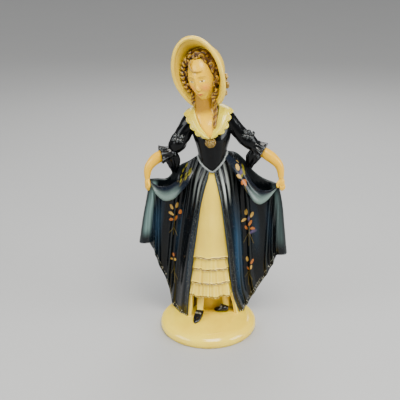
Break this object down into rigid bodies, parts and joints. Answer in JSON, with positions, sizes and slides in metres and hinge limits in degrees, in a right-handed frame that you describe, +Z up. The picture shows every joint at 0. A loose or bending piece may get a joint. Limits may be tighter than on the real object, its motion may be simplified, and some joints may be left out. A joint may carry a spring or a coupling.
{
  "type": "lady figurine",
  "caption": "Glazed ceramic figurine of a lady in a poke bonnet and open gown, holding out her skirts, cast in one piece with a round domed base.",
  "frame": {"origin": "centre of the round base's underside", "axes": "+Z up; the lady faces -Y; +X is on the right of a person who looks at her face"},
  "size_m": [0.1346, 0.0903, 0.2725],
  "materials": {
    "cream_glaze": "glossy ceramic glaze",
    "navy_glaze": "glossy ceramic glaze",
    "flesh_glaze": "glossy ceramic glaze",
    "hair_glaze": "glossy ceramic glaze",
    "white_glaze": "glossy ceramic glaze",
    "gold_glaze": "glossy ceramic glaze"
  },
  "bodies": {
    "root": {"lady_figurine": "cream_glaze"}
  },
  "joints": []
}
